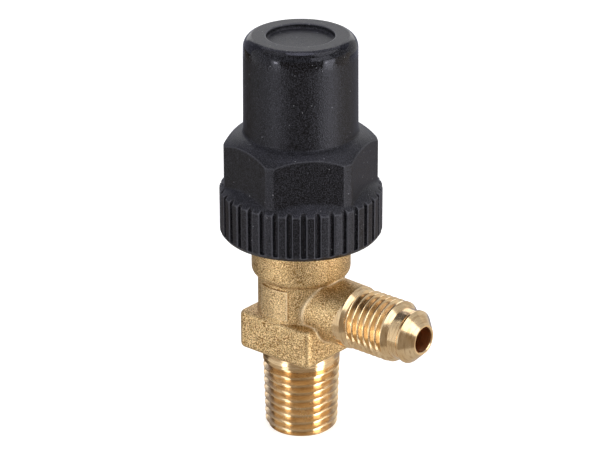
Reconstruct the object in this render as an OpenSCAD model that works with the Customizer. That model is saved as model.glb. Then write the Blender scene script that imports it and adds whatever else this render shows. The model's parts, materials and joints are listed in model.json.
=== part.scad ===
// Capped angle shut-off valve: forged body, taper pipe inlet below, flare outlet at the side,
// rising spindle with a packed gland, and a screw cap over the spindle.
// Millimetres, +Z up along the spindle, +X along the outlet, origin at the centre of the inlet's end face.

/* [Inlet] */
// Length of the taper thread
inlet_thread_len = 14.3; // [10:0.1:16]
// Crest radius of the taper thread at its end
inlet_end_r = 6.57; // [6.2:0.01:6.9]
// Growth of the thread's diameter per millimetre of length
inlet_taper = 0.0625; // [0.04:0.0025:0.08]
// Chamfer at the end of the thread
inlet_chamfer = 0.6; // [0.3:0.1:1]
// Radius of the plain neck above the thread
inlet_neck_r = 6.9; // [6.5:0.05:7.4]
// Length of the plain neck
inlet_neck_len = 2.3; // [1.5:0.1:5]
// Radius of the inlet bore
inlet_bore_r = 3.5; // [3:0.05:4]

/* [Wrench block] */
// Width of the square across its flats
block_w = 16.2; // [15.6:0.1:18]
// Height of the square
block_h = 6.6; // [5:0.1:8]
// Radius of the upright corners
block_corner_r = 1.2; // [0.6:0.1:2]
// Radius of the top and bottom edges
block_edge_r = 0.9; // [0.4:0.1:1.5]

/* [Barrel] */
// Radius of the forged barrel
barrel_r = 7.8; // [7.6:0.1:8.4]
// Length of the barrel between the square and the collar
barrel_len = 7.2; // [5:0.1:9]
// Width of the bare raised pad on the barrel's front
pad_w = 6.2; // [4:0.1:8]
// Height of the pad
pad_h = 5.8; // [3:0.1:6.4]
// How far the pad stands out of the barrel
pad_rise = 0.3; // [0.1:0.05:0.5]

/* [Collar] */
// Radius of the forged collar
collar_r = 8.9; // [8.6:0.1:9.6]
// Length of the collar up to the cap thread
collar_len = 10.1; // [8:0.1:14]
// Radius of the collar's lower edge
collar_edge_r = 1.5; // [1:0.1:2.4]

/* [Cap thread on the body] */
// Crest radius of the cap thread
cap_thread_r = 8.85; // [8.5:0.05:9.2]
// Length of the machined top, with its relief
cap_thread_len = 9.5; // [7:0.1:12]
// Depth of the relief below the thread
cap_relief_depth = 0.9; // [0.5:0.1:1.2]
// Length of the relief
cap_relief_len = 1.2; // [0.6:0.1:2]
// Chamfer on the top rim
rim_chamfer = 0.8; // [0.3:0.1:1]

/* [Outlet branch] */
// Height of the branch's axis above the top of the square
branch_rise = 1.9; // [1:0.1:3]
// Radius of the forged branch at the valve's axis
branch_base_r = 6.1; // [5.8:0.05:7]
// Radius of the forged branch at its outer end
branch_root_r = 5.75; // [5.6:0.05:6.6]
// Distance from the valve's axis to the end of the forged branch
branch_root_len = 12.5; // [11.5:0.1:15]
// Length of the turned cone on the end of the forged branch
branch_face_len = 0.6; // [0.4:0.1:1.2]
// Radius of the turned ring behind the thread
branch_ring_r = 5.1; // [4.9:0.05:5.4]
// Length of the turned ring
branch_ring_len = 1.1; // [0.6:0.1:2]
// Crest radius of the flare thread
flare_thread_r = 5.556; // [5:0.001:6]
// Length of the flare thread
flare_thread_len = 8.1; // [6:0.1:12]
// Length of the chamfer that leads into the thread
flare_lead_len = 1.8; // [0.6:0.1:2]
// Drop in radius over that chamfer
flare_lead_drop = 0.55; // [0.3:0.05:0.8]
// Radius of the groove behind the flare cone
flare_groove_r = 4.4; // [4:0.05:4.6]
// Length of the groove
flare_groove_len = 1.2; // [0.6:0.1:1.6]
// Radius of the rim at the base of the flare cone
flare_rim_r = 4.8; // [4.4:0.05:4.95]
// Length of that rim
flare_rim_len = 0.4; // [0.2:0.05:0.8]
// Outer radius of the flat end of the flare cone
flare_tip_r = 2.7; // [2.6:0.05:3]
// Angle between the flare cone and the branch's axis
flare_angle = 45; // [40:1:50]
// Radius of the outlet bore
outlet_bore_r = 2.3; // [2:0.05:2.5]

/* [Seat] */
// Height of the chamber floor above the bottom of the square
seat_floor_rise = 3.4; // [2.5:0.1:4.2]
// Radius of the orifice
orifice_r = 2.6; // [2.2:0.05:2.8]
// Height of the seat lip above the chamber floor
seat_lip_h = 0.8; // [0.4:0.1:1.2]
// Width of the flat on the seat lip
seat_land = 0.4; // [0.2:0.05:0.6]
// Depth of the straight orifice below the chamber floor
orifice_len = 1.5; // [0.8:0.1:2.5]
// Radius of the valve chamber
chamber_r = 4.8; // [4.75:0.05:5]
// Height of the valve chamber
chamber_len = 8.5; // [8:0.1:10]

/* [Spindle] */
// Crest radius of the spindle thread
spindle_thread_r = 5; // [4.8:0.05:5.3]
// Length of the threaded hole for the spindle
spindle_hole_len = 11; // [9.5:0.1:14]
// Travel of the spindle from closed to open
spindle_travel = 5; // [3:0.1:5.5]
// Radius of the smooth stem
stem_r = 3.5; // [3.2:0.05:3.7]
// Radius of the shank between the plug and the thread
shank_r = 3.9; // [3.2:0.05:4]
// Length of the shank below the thread
shank_len = 2.6; // [2:0.1:4]
// Width of the square head across its flats
square_w = 4.76; // [4:0.01:4.8]
// Length of the square head
square_len = 8; // [6:0.1:9]
// Chamfer on top of the square head
square_chamfer = 0.5; // [0.2:0.1:0.8]
// Stem left round above the gland nut
stem_free_len = 0.8; // [0.4:0.1:2]

/* [Plug and seal] */
// Radius of the swivelling plug
plug_r = 4.05; // [3.9:0.01:4.08]
// Height of the plug
plug_h = 5.3; // [5:0.1:6]
// Radius of the spindle's button inside the plug
button_r = 2.4; // [2.2:0.05:2.6]
// Height of the button
button_h = 1.2; // [0.8:0.1:1.6]
// Radius of the neck above the button
button_neck_r = 1.9; // [1.6:0.05:2]
// Thickness of the lip rolled in over the button
plug_lip_h = 1.5; // [1:0.1:1.8]
// Outer radius of the seat seal
seal_r = 3.65; // [3.4:0.05:3.75]
// Inner radius of the seat seal
seal_bore_r = 1.7; // [1.4:0.05:2]
// Thickness of the seat seal
seal_h = 1.2; // [0.8:0.1:1.5]
// How far the seat seal stands out of the plug
seal_proud = 0.3; // [0.1:0.05:0.5]

/* [Gland] */
// Radius of the packing chamber
packing_bore_r = 5.6; // [5.45:0.05:5.7]
// Thickness of the washer below the packing
washer_h = 0.8; // [0.5:0.1:1.2]
// Height of one packing ring
packing_h = 1.4; // [1:0.1:1.6]
// Depth of the bevel on each packing ring
packing_bevel = 0.3; // [0.1:0.05:0.4]
// Height of the gland ring
gland_ring_h = 1.5; // [1.2:0.1:2]
// Crest radius of the gland nut's thread
gland_thread_r = 6; // [5.9:0.05:6.3]
// Width of the gland nut across its flats
gland_hex_w = 12; // [11:0.1:12.4]
// Height of the gland nut's hexagon
gland_hex_h = 4.5; // [3:0.1:5]
// Gap left under the hexagon for taking up the packing
gland_take_up = 0.8; // [0.4:0.1:1.5]
// Chamfer on top of the hexagon
gland_hex_chamfer = 0.7; // [0.3:0.1:1]

/* [Cap] */
// Height of the cap
cap_h = 36.9; // [34:0.1:42]
// Depth of the cap below the gasket
cap_socket_h = 13.2; // [11:0.1:14]
// Radius of the knurled band
band_r = 14.5; // [14.1:0.1:16]
// Height of the band up to its cone
band_h = 8.5; // [6:0.1:10]
// Height of the cone above the band
band_cone_h = 1.7; // [1:0.1:2.5]
// Drop in radius over the chamfer below the band
band_chamfer_drop = 0.65; // [0.3:0.05:1]
// Height of that chamfer
band_chamfer_h = 0.8; // [0.5:0.1:1.5]
// Height of the plain rim below the grooves
band_rim_h = 0.8; // [0.4:0.1:1.5]
// Number of grooves round the band
groove_count = 36; // [24:1:48]
// Width of a groove at its mouth
groove_w = 1; // [0.6:0.05:1.2]
// Width of a groove at its floor
groove_floor_w = 0.6; // [0.3:0.05:0.8]
// Depth of a groove
groove_depth = 0.75; // [0.4:0.05:1]
// Width of the hexagon across its flats
hex_w = 24.5; // [23.5:0.1:26]
// Width across the bevels on the hexagon's corners
hex_bevel_w = 27.3; // [26.8:0.1:28]
// Height of the tower's foot above the bottom of the cap
shoulder_h = 19.2; // [17:0.1:21]
// Radius of the domed shoulder above the hexagon
shoulder_arc_r = 9.3; // [8:0.1:12]
// Radius of the tower at its foot
tower_foot_r = 10.17; // [9.6:0.01:10.8]
// Radius of the tower at its top edge
tower_top_r = 10.05; // [9.5:0.01:10.7]
// Radius of the tower's rounded top edge
tower_edge_r = 2.2; // [1.5:0.1:2.5]
// Radius of the flat on top of the tower
tower_flat_r = 8.5; // [7.9:0.05:8.8]
// Radius of the recess in the top
recess_r = 6; // [4:0.1:7]
// Depth of the recess
recess_depth = 0.9; // [0.5:0.1:1.5]
// Thickness of the top under the recess
cap_top_wall = 2.1; // [1.5:0.1:3]
// Radius of the hollow inside the tower
tower_bore_r = 7.6; // [7.4:0.05:7.9]
// Radial room between the cap's skirt and the collar
skirt_gap = 1.7; // [0.7:0.1:2.4]
// Depth of the hollow in the skirt
skirt_bore_h = 4.7; // [3:0.1:6]
// Turn of the cap's hexagon about the spindle, as tightened
cap_turn = -43.5; // [-60:0.5:60]
// Thickness of the cap gasket
gasket_h = 1.5; // [1:0.1:2]
// Radial room round the cap gasket
gasket_gap = 0.35; // [0.1:0.05:0.6]

/* [Fits] */
// Radial clearance of a running fit or a thread
run_gap = 0.04; // [0.02:0.01:0.08]
// Radial clearance of the cap on its thread
cap_gap = 0.08; // [0.04:0.01:0.1]
// Radial clearance of washers and rings that only lie in their bore
loose_gap = 0.1; // [0.05:0.01:0.15]
// Gap between faces that close on each other
face_gap = 0.02; // [0.01:0.01:0.05]

/* [Hidden] */
$fn = 96;
// Overlap that lets a cut run clear of the face it leaves by
over = 1;

// Levels of the body, from the inlet's end upwards
neck_z = inlet_thread_len;
block_z = neck_z + inlet_neck_len;
block_top_z = block_z + block_h;
collar_z = block_top_z + barrel_len;
shoulder_z = collar_z + collar_len;
rim_z = shoulder_z + cap_thread_len;
branch_z = block_top_z + branch_rise;
pad_z = block_top_z + barrel_len / 2;
inlet_top_r = inlet_end_r + inlet_thread_len * inlet_taper / 2;
// The collar's rounded edge leaves the barrel at collar_z, and has no height where the barrel is as wide
collar_edge_in = max(0, collar_edge_r - collar_r + barrel_r);
collar_arc_z = collar_z + sqrt(max(0, pow(collar_edge_r, 2) - pow(collar_edge_in, 2)));

// Stations of the branch, from the valve's axis outwards
ring_x = branch_root_len + branch_face_len;
thread_x = ring_x + branch_ring_len;
lead_x = thread_x + flare_thread_len;
groove_x = lead_x + flare_lead_len;
rim_x = groove_x + flare_groove_len;
cone_x = rim_x + flare_rim_len;
tip_x = cone_x + (flare_rim_r - flare_tip_r) / tan(flare_angle);

// Levels inside the body
floor_z = block_z + seat_floor_rise;
lip_z = floor_z + seat_lip_h;
orifice_z = floor_z - orifice_len;
chamber_top_z = floor_z + chamber_len;
packing_z = chamber_top_z + spindle_hole_len;

// Levels of the gland, from the washer upwards
ring_1_z = packing_z + washer_h;
ring_2_z = ring_1_z + packing_h;
ring_3_z = ring_2_z + packing_h;
gland_ring_z = ring_3_z + packing_h;
gland_nose_z = gland_ring_z + gland_ring_h;
gland_thread_z = gland_nose_z - gland_ring_h / 3;
gland_hex_z = rim_z + gland_take_up;
gland_top_z = gland_hex_z + gland_hex_h;
gland_corner_r = gland_hex_w / 2 / cos(30);
stem_hole_r = stem_r + loose_gap;

// Levels of the plug and the spindle, as closed
seal_z = lip_z + face_gap;
plug_z = seal_z + seal_proud;
plug_top_z = plug_z + plug_h;
button_top_z = plug_top_z - plug_lip_h;
button_z = button_top_z - button_h;
shank_z = plug_top_z + face_gap;
spindle_thread_z = shank_z + shank_len;
spindle_thread_top_z = packing_z - spindle_travel - loose_gap;
square_z = gland_top_z + stem_free_len;
spindle_top_z = square_z + square_len;

// Levels of the cap, as screwed down
gasket_z = rim_z + face_gap;
cap_seat_z = gasket_z + gasket_h + face_gap;
cap_z = cap_seat_z - cap_socket_h;
cap_top_z = cap_z + cap_h;
band_top_z = cap_z + band_h;
hex_z = band_top_z + band_cone_h;
tower_z = cap_z + shoulder_h;
tower_ceiling_z = cap_top_z - recess_depth - cap_top_wall;
cap_bore_r = cap_thread_r + cap_gap;
skirt_bore_r = collar_r + skirt_gap;
// The top edge's arc passes through the rim of the flat
edge_arc_r = tower_top_r - tower_edge_r;
edge_arc_z = cap_top_z - sqrt(pow(tower_edge_r, 2) - pow(tower_flat_r - edge_arc_r, 2));
// The domed shoulder falls from the tower's foot at this slope
shoulder_slope = 20;
shoulder_arc_x = tower_foot_r - shoulder_arc_r * sin(shoulder_slope);
shoulder_arc_z = tower_z - shoulder_arc_r * cos(shoulder_slope);

brass = "#C6A062";
turned_brass = "#D8B25E";
steel = "#A9ABAD";
black = "#2A2A2D";
white = "#ECEAE4";
graphite = "#4A4A4C";

// Rectangle about the origin with round corners
module rounded_rect(w, h, r) {
    square([w - 2 * r, h], center = true);
    square([w, h - 2 * r], center = true);
    for (x = [-1, 1], y = [-1, 1])
        translate([x * (w / 2 - r), y * (h / 2 - r)])
            circle(r);
}

// Flat ring standing on z
module ring(z, h, outer_r, inner_r) {
    translate([0, 0, z])
        difference() {
            cylinder(h = h, r = outer_r);
            translate([0, 0, -over])
                cylinder(h = h + 2 * over, r = inner_r);
        }
}

// Square block with every edge rounded: plan, front and side outlines meet in one solid
module wrench_block() {
    translate([0, 0, block_z + block_h / 2])
        intersection() {
            linear_extrude(block_h, center = true)
                rounded_rect(block_w, block_w, block_corner_r);
            rotate([90, 0, 0])
                linear_extrude(block_w, center = true)
                    rounded_rect(block_w, block_h, block_edge_r);
            rotate([90, 0, 90])
                linear_extrude(block_w, center = true)
                    rounded_rect(block_w, block_h, block_edge_r);
        }
}

// Outline of the body's turned and forged rounds, from the inlet's end to the top rim
module body_outline() {
    relief_r = cap_thread_r - cap_relief_depth;
    polygon([
        [0, 0],
        [inlet_end_r - inlet_chamfer, 0],
        [inlet_end_r + inlet_chamfer * inlet_taper / 2, inlet_chamfer],
        [inlet_top_r, neck_z],
        [inlet_neck_r, neck_z],
        [inlet_neck_r, block_z + block_h / 2],
        [barrel_r, block_z + block_h / 2],
        [barrel_r, collar_arc_z],
        [collar_r, collar_arc_z],
        [collar_r, shoulder_z],
        [relief_r, shoulder_z],
        [relief_r, shoulder_z + cap_relief_len],
        [cap_thread_r, shoulder_z + cap_relief_len + cap_relief_depth],
        [cap_thread_r, rim_z - rim_chamfer],
        [cap_thread_r - rim_chamfer, rim_z],
        [0, rim_z]
    ]);
    translate([collar_r - collar_edge_r, collar_arc_z])
        circle(collar_edge_r);
}

// Outline of the branch about its own axis: forged root, turned cone, ring, thread, groove and flare cone
module branch_outline() {
    polygon([
        [0, 0],
        [branch_base_r, 0],
        [branch_root_r, branch_root_len],
        [branch_ring_r, ring_x],
        [branch_ring_r, thread_x],
        [flare_thread_r, thread_x],
        [flare_thread_r, lead_x],
        [flare_thread_r - flare_lead_drop, groove_x],
        [flare_groove_r, groove_x],
        [flare_groove_r, rim_x],
        [flare_rim_r, rim_x],
        [flare_rim_r, cone_x],
        [flare_tip_r, tip_x],
        [0, tip_x]
    ]);
}

// Raised pad that follows the front of the barrel
module barrel_pad() {
    intersection() {
        translate([0, 0, pad_z - pad_h / 2])
            cylinder(h = pad_h, r = barrel_r + pad_rise);
        translate([-pad_w / 2, -block_w, pad_z - pad_h / 2])
            cube([pad_w, block_w, pad_h]);
    }
}

// Outline of everything bored from above and below: inlet, orifice, seat lip, chamber, thread and gland
module bore_outline() {
    land_r = orifice_r + seat_land;
    polygon([
        [0, -over],
        [inlet_bore_r, -over],
        [inlet_bore_r, orifice_z - (inlet_bore_r - orifice_r)],
        [orifice_r, orifice_z],
        [orifice_r, lip_z],
        [land_r, lip_z],
        [land_r + seat_lip_h / 2, floor_z],
        [chamber_r, floor_z],
        [chamber_r, chamber_top_z],
        [spindle_thread_r + run_gap, chamber_top_z],
        [spindle_thread_r + run_gap, packing_z],
        [packing_bore_r, packing_z],
        [packing_bore_r, gland_thread_z],
        [gland_thread_r + run_gap, gland_thread_z],
        [gland_thread_r + run_gap, rim_z + over],
        [0, rim_z + over]
    ]);
}

module valve_body() {
    color(brass)
        difference() {
            union() {
                rotate_extrude()
                    body_outline();
                wrench_block();
                barrel_pad();
                translate([0, 0, branch_z])
                    rotate([0, 90, 0])
                        rotate_extrude()
                            branch_outline();
            }
            rotate_extrude()
                bore_outline();
            translate([0, 0, branch_z])
                rotate([0, 90, 0])
                    cylinder(h = tip_x + over, r = outlet_bore_r);
        }
}

// Plug on the end of the spindle: seal groove below, socket with a rolled lip above
module seat_plug() {
    groove_h = seal_h - seal_proud + face_gap;
    hub_r = seal_bore_r - run_gap;
    color(turned_brass)
        rotate_extrude()
            polygon([
                [0, plug_z],
                [hub_r, plug_z],
                [hub_r, plug_z + groove_h],
                [seal_r + run_gap, plug_z + groove_h],
                [seal_r + run_gap, plug_z],
                [plug_r, plug_z],
                [plug_r, plug_top_z],
                [button_neck_r + run_gap, plug_top_z],
                [button_neck_r + run_gap, button_top_z + run_gap],
                [button_r + run_gap, button_top_z + run_gap],
                [button_r + run_gap, button_z - run_gap],
                [0, button_z - run_gap]
            ]);
}

module seat_seal() {
    color(white)
        ring(seal_z, seal_h, seal_r, seal_bore_r);
}

// Spindle in one piece: button, neck, shank, thread, smooth stem and square head
module spindle() {
    color(steel) {
        rotate_extrude()
            polygon([
                [0, button_z],
                [button_r, button_z],
                [button_r, button_top_z],
                [button_neck_r, button_top_z],
                [button_neck_r, shank_z],
                [shank_r, shank_z],
                [shank_r, spindle_thread_z],
                [spindle_thread_r, spindle_thread_z],
                [spindle_thread_r, spindle_thread_top_z],
                [stem_r, spindle_thread_top_z],
                [stem_r, square_z],
                [0, square_z]
            ]);
        intersection() {
            translate([-square_w / 2, -square_w / 2, square_z])
                cube([square_w, square_w, square_len]);
            rotate_extrude()
                polygon([
                    [0, square_z],
                    [stem_r, square_z],
                    [stem_r, spindle_top_z - square_chamfer],
                    [stem_r - square_chamfer * 2, spindle_top_z],
                    [0, spindle_top_z]
                ]);
        }
    }
}

module packing_washer() {
    color(steel)
        ring(packing_z, washer_h, packing_bore_r - loose_gap, stem_hole_r);
}

// Packing ring with bevelled edges
module packing_ring(z) {
    outer_r = packing_bore_r - run_gap;
    inner_r = stem_r + run_gap;
    color(graphite)
        rotate_extrude()
            polygon([
                [inner_r, z + packing_bevel],
                [inner_r + packing_bevel, z],
                [outer_r - packing_bevel, z],
                [outer_r, z + packing_bevel],
                [outer_r, z + packing_h - packing_bevel],
                [outer_r - packing_bevel, z + packing_h],
                [inner_r + packing_bevel, z + packing_h],
                [inner_r, z + packing_h - packing_bevel]
            ]);
}

module gland_ring() {
    color(turned_brass)
        ring(gland_ring_z, gland_ring_h, packing_bore_r - loose_gap, stem_hole_r);
}

// Gland nut: threaded nose in the body, hexagon above the rim
module gland_nut() {
    color(turned_brass)
        difference() {
            union() {
                translate([0, 0, gland_nose_z])
                    cylinder(h = gland_hex_z - gland_nose_z + over, r = gland_thread_r);
                intersection() {
                    translate([0, 0, gland_hex_z])
                        cylinder(h = gland_hex_h, r = gland_corner_r, $fn = 6);
                    rotate_extrude()
                        polygon([
                            [0, gland_hex_z],
                            [gland_corner_r, gland_hex_z],
                            [gland_corner_r, gland_top_z - gland_hex_chamfer],
                            [gland_corner_r - gland_hex_chamfer * 2, gland_top_z],
                            [0, gland_top_z]
                        ]);
                }
            }
            translate([0, 0, gland_nose_z - over])
                cylinder(h = gland_top_z - gland_nose_z + 2 * over, r = stem_hole_r);
        }
}

module cap_gasket() {
    color(black)
        ring(gasket_z, gasket_h, cap_bore_r - gasket_gap, gland_corner_r + 3 * loose_gap);
}

// Plan of the knurled band: a disc with a groove at every step round it
module band_plan() {
    step = 360 / groove_count;
    floor_r = band_r - groove_depth;
    difference() {
        circle(band_r);
        for (i = [0 : groove_count - 1])
            rotate((i + 0.5) * step)
                polygon([
                    [floor_r, -groove_floor_w / 2],
                    [band_r, -groove_w / 2],
                    [band_r + over, -groove_w / 2],
                    [band_r + over, groove_w / 2],
                    [band_r, groove_w / 2],
                    [floor_r, groove_floor_w / 2]
                ]);
    }
}

// Band with a plain rim below its grooves, a lower chamfer and the cone that rises to the hexagon
module cap_band() {
    intersection() {
        union() {
            translate([0, 0, cap_z])
                cylinder(h = band_rim_h, r = band_r);
            translate([0, 0, cap_z + band_rim_h])
                linear_extrude(hex_z - cap_z - band_rim_h)
                    band_plan();
        }
        rotate_extrude()
            polygon([
                [0, cap_z],
                [band_r - band_chamfer_drop, cap_z],
                [band_r, cap_z + band_chamfer_h],
                [band_r, band_top_z],
                [hex_w / 2, hex_z],
                [0, hex_z]
            ]);
    }
}

// Hexagon with bevelled corners under a domed shoulder
module cap_hexagon() {
    intersection() {
        translate([0, 0, band_top_z - over])
            linear_extrude(cap_h)
                intersection() {
                    rotate(30)
                        circle(hex_w / 2 / cos(30), $fn = 6);
                    circle(hex_bevel_w / 2 / cos(30), $fn = 6);
                }
        rotate_extrude()
            intersection() {
                translate([0, band_top_z - over])
                    square([band_r, tower_z - band_top_z + over]);
                union() {
                    square([shoulder_arc_x, cap_top_z]);
                    translate([shoulder_arc_x, shoulder_arc_z])
                        circle(shoulder_arc_r);
                    square([shoulder_arc_x + shoulder_arc_r, shoulder_arc_z]);
                }
            }
    }
}

// Tower with its rounded top edge and flat top
module cap_tower() {
    rotate_extrude()
        intersection() {
            translate([0, hex_z])
                square([band_r, cap_top_z - hex_z]);
            union() {
                polygon([
                    [0, hex_z],
                    [tower_foot_r, hex_z],
                    [tower_foot_r, tower_z],
                    [tower_top_r, edge_arc_z],
                    [0, edge_arc_z]
                ]);
                square([edge_arc_r, cap_top_z]);
                translate([edge_arc_r, edge_arc_z])
                    circle(tower_edge_r);
            }
        }
}

// Hollow of the cap: skirt, thread, gasket seat and tower
module cap_hollow() {
    skirt_z = cap_z + skirt_bore_h;
    rotate_extrude()
        polygon([
            [0, cap_z - over],
            [skirt_bore_r, cap_z - over],
            [skirt_bore_r, skirt_z],
            [cap_bore_r, skirt_z + (skirt_bore_r - cap_bore_r) / 2],
            [cap_bore_r, cap_seat_z],
            [tower_bore_r, cap_seat_z],
            [tower_bore_r, tower_ceiling_z],
            [0, tower_ceiling_z]
        ]);
}

module cap() {
    color(black)
        rotate([0, 0, cap_turn])
            difference() {
                union() {
                    cap_band();
                    cap_hexagon();
                    cap_tower();
                }
                cap_hollow();
                translate([0, 0, cap_top_z - recess_depth])
                    cylinder(h = recess_depth + over, r = recess_r);
            }
}

valve_body();
seat_plug();
seat_seal();
spindle();
packing_washer();
packing_ring(ring_1_z);  // packing_ring_lower
packing_ring(ring_2_z);  // packing_ring_middle
packing_ring(ring_3_z);  // packing_ring_upper
gland_ring();
gland_nut();
cap_gasket();
cap();
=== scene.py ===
# %% [markdown]
# # Capped angle valve
#
# The real object is a brass angle valve: a forged body with a pipe thread below and a flare outlet
# at its side, and a black moulded cap screwed over its spindle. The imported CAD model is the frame.
# It fixes every size, and this lesson dresses it: the threads, the soft edges of a forging, the
# grain of the cap and the studio round it.

import json
import math

import bmesh
import bpy
import numpy as np
from mathutils import Matrix, Vector

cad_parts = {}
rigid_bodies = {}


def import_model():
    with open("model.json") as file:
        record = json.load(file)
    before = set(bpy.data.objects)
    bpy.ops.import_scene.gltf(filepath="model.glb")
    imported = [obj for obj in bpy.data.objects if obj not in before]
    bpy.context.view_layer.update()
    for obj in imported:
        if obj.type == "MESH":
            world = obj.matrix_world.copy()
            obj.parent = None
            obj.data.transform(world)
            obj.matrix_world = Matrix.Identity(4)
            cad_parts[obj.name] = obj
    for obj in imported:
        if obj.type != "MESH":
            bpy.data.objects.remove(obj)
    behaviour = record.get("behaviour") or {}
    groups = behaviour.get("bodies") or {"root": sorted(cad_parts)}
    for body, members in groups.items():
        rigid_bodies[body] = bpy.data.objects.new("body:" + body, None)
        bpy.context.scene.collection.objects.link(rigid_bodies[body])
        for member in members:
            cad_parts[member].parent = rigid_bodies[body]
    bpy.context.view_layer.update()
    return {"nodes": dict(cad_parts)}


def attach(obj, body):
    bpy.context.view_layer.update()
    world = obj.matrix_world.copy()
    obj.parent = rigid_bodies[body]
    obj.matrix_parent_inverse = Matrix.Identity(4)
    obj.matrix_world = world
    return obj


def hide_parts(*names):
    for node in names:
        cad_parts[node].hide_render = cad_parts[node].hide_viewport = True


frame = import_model()
nodes = frame["nodes"]

# %% [markdown]
# ## Camera
#
# A camera can be placed by eye or worked out. Here it is worked out: the outline of the cap, the
# square and the flare fix where a camera must stand to see them where they are. It stands half a
# metre off, which makes a long lens.

# %% Camera
MM = 0.001
IMAGE_WIDTH = 600
SENSOR_MM = 36
FOCAL_PIXELS = 2752
CAMERA_TURN = math.radians(39.8)
CAMERA_DIP = math.radians(23.5)
CAMERA_ROLL = math.radians(-0.15)
CAMERA_REACH = 450 * MM
CAMERA_HEIGHT = 235 * MM
CAMERA_SIDESTEP = -0.185 * MM
CLIP_START = 10 * MM


def placed(name, data):
    """A new object in the scene, made of that mesh, lamp or camera."""
    made = bpy.data.objects.new(name, data)
    bpy.context.scene.collection.objects.link(made)
    return made


towards_camera = Vector((math.sin(CAMERA_TURN), -math.cos(CAMERA_TURN), 0))
image_right = Vector((math.cos(CAMERA_TURN), math.sin(CAMERA_TURN), 0))
camera = placed("camera", bpy.data.cameras.new("camera"))
bpy.context.scene.camera = camera
camera.data.sensor_width = SENSOR_MM
camera.data.lens = FOCAL_PIXELS * SENSOR_MM / IMAGE_WIDTH
camera.data.clip_start = CLIP_START
camera_place = towards_camera * CAMERA_REACH + image_right * CAMERA_SIDESTEP
camera_place.z = CAMERA_HEIGHT
turn = Matrix.Rotation(CAMERA_TURN, 4, "Z")
dip = Matrix.Rotation(math.pi / 2 - CAMERA_DIP, 4, "X")
roll = Matrix.Rotation(CAMERA_ROLL, 4, "Z")
camera.matrix_world = Matrix.Translation(camera_place) @ turn @ dip @ roll
print("Lens in millimetres:", round(camera.data.lens, 1))

# %% [markdown]
# ## Tools of the workshop
#
# Most of this valve is turned or forged, so a lathe, a cutter that follows a helix, and a way to
# join and cut solids make nearly all of it. The shapes are drawn in millimetres, as on a drawing,
# and go to metres when they are done.

# %% Solids from points
def solid(name, points, faces):
    """A closed piece from its points and faces, with its faces turned outwards."""
    mesh = bpy.data.meshes.new(name)
    mesh.from_pydata(points, [], faces)
    shape = bmesh.new()
    shape.from_mesh(mesh)
    bmesh.ops.recalc_face_normals(shape, faces=shape.faces)
    shape.to_mesh(mesh)
    shape.free()
    return placed(name, mesh)


# %% A lathe
LATHE_STEPS = 160


def lathe(name, outline):
    """A round solid about Z. The outline runs (radius, height) from the axis below to above."""
    points = []
    rings = []
    for radius, height in outline:
        count = LATHE_STEPS if radius > 0 else 1
        rings.append([len(points) + step for step in range(count)])
        for step in range(count):
            angle = math.tau * step / LATHE_STEPS
            points.append((radius * math.cos(angle), radius * math.sin(angle), height))
    faces = []
    for low, high in zip(rings, rings[1:]):
        for step in range(LATHE_STEPS):
            after = (step + 1) % LATHE_STEPS
            if len(low) == 1:
                faces.append((low[0], high[after], high[step]))
            elif len(high) == 1:
                faces.append((low[step], low[after], high[0]))
            else:
                faces.append((low[step], low[after], high[after], high[step]))
    return solid(name, points, faces)


# %% A bar that follows a path
def bar(name, points, corners):
    """A solid bar. Its points run section by section, with that many corners in each."""
    sections = len(points) // corners
    faces = [tuple(range(corners)), tuple(range(len(points) - corners, len(points)))]
    for step in range(sections - 1):
        for corner in range(corners):
            here = step * corners + corner
            beside = step * corners + (corner + 1) % corners
            faces.append((here, beside, beside + corners, here + corners))
    return solid(name, points, faces)


STEPS_A_TURN = 96


def helix_bar(name, pitch, low, high, section, start=0.0):
    """A right-hand helix about Z. section(height) gives its corners as (along the axis, radius)."""
    steps = round((high - low) / pitch * STEPS_A_TURN)
    points = []
    for step in range(steps + 1):
        height = low + (high - low) * step / steps
        angle = start + math.tau * height / pitch
        for along, radius in section(height):
            points.append((radius * math.cos(angle), radius * math.sin(angle), height + along))
    return bar(name, points, len(section(low)))


# %% Joining, cutting and settling
def settle(piece):
    """Makes what the modifiers show the piece's own mesh."""
    seen = piece.evaluated_get(bpy.context.evaluated_depsgraph_get())
    made = bpy.data.meshes.new_from_object(seen)
    drawn = piece.data
    piece.modifiers.clear()
    piece.data = made
    bpy.data.meshes.remove(drawn)


def combine(piece, tool, how):
    """Joins the tool to the piece (UNION), or takes it away (DIFFERENCE), and uses the tool up."""
    step = piece.modifiers.new(how, "BOOLEAN")
    step.object = tool
    step.operation = how
    step.solver = "MANIFOLD"
    settle(piece)
    bpy.data.objects.remove(tool)


# %% Voxels and smoothing
SMOOTH_FACTOR = 0.5


def rebuild(piece, voxel):
    """Adds the step that makes the piece's skin anew from voxels of that size."""
    step = piece.modifiers.new("voxels", "REMESH")
    step.mode = "VOXEL"
    step.voxel_size = voxel


def soften(piece, rounds, group=""):
    """Adds the step that smooths the piece, or only a marked group of its points."""
    step = piece.modifiers.new("soften", "SMOOTH")
    step.factor = SMOOTH_FACTOR
    step.iterations = rounds
    step.vertex_group = group


def ramp(value, start, end):
    """0 before start, 1 after end, smooth between."""
    share = min(1.0, max(0.0, (value - start) / (end - start)))
    return share * share * (3 - 2 * share)


# %% [markdown]
# ## Forging
#
# The body starts as one hot brass forging: a square for the spanner, a barrel with a collar, and a
# branch. A forging has no sharp corners where its arms meet, because the die couldn't be filled
# there. Bevels can't follow such a curved meeting line, so the solids are joined, remeshed in fine
# voxels, and smoothed: lightly all over, and hard only along the branch's meeting line.

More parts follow.
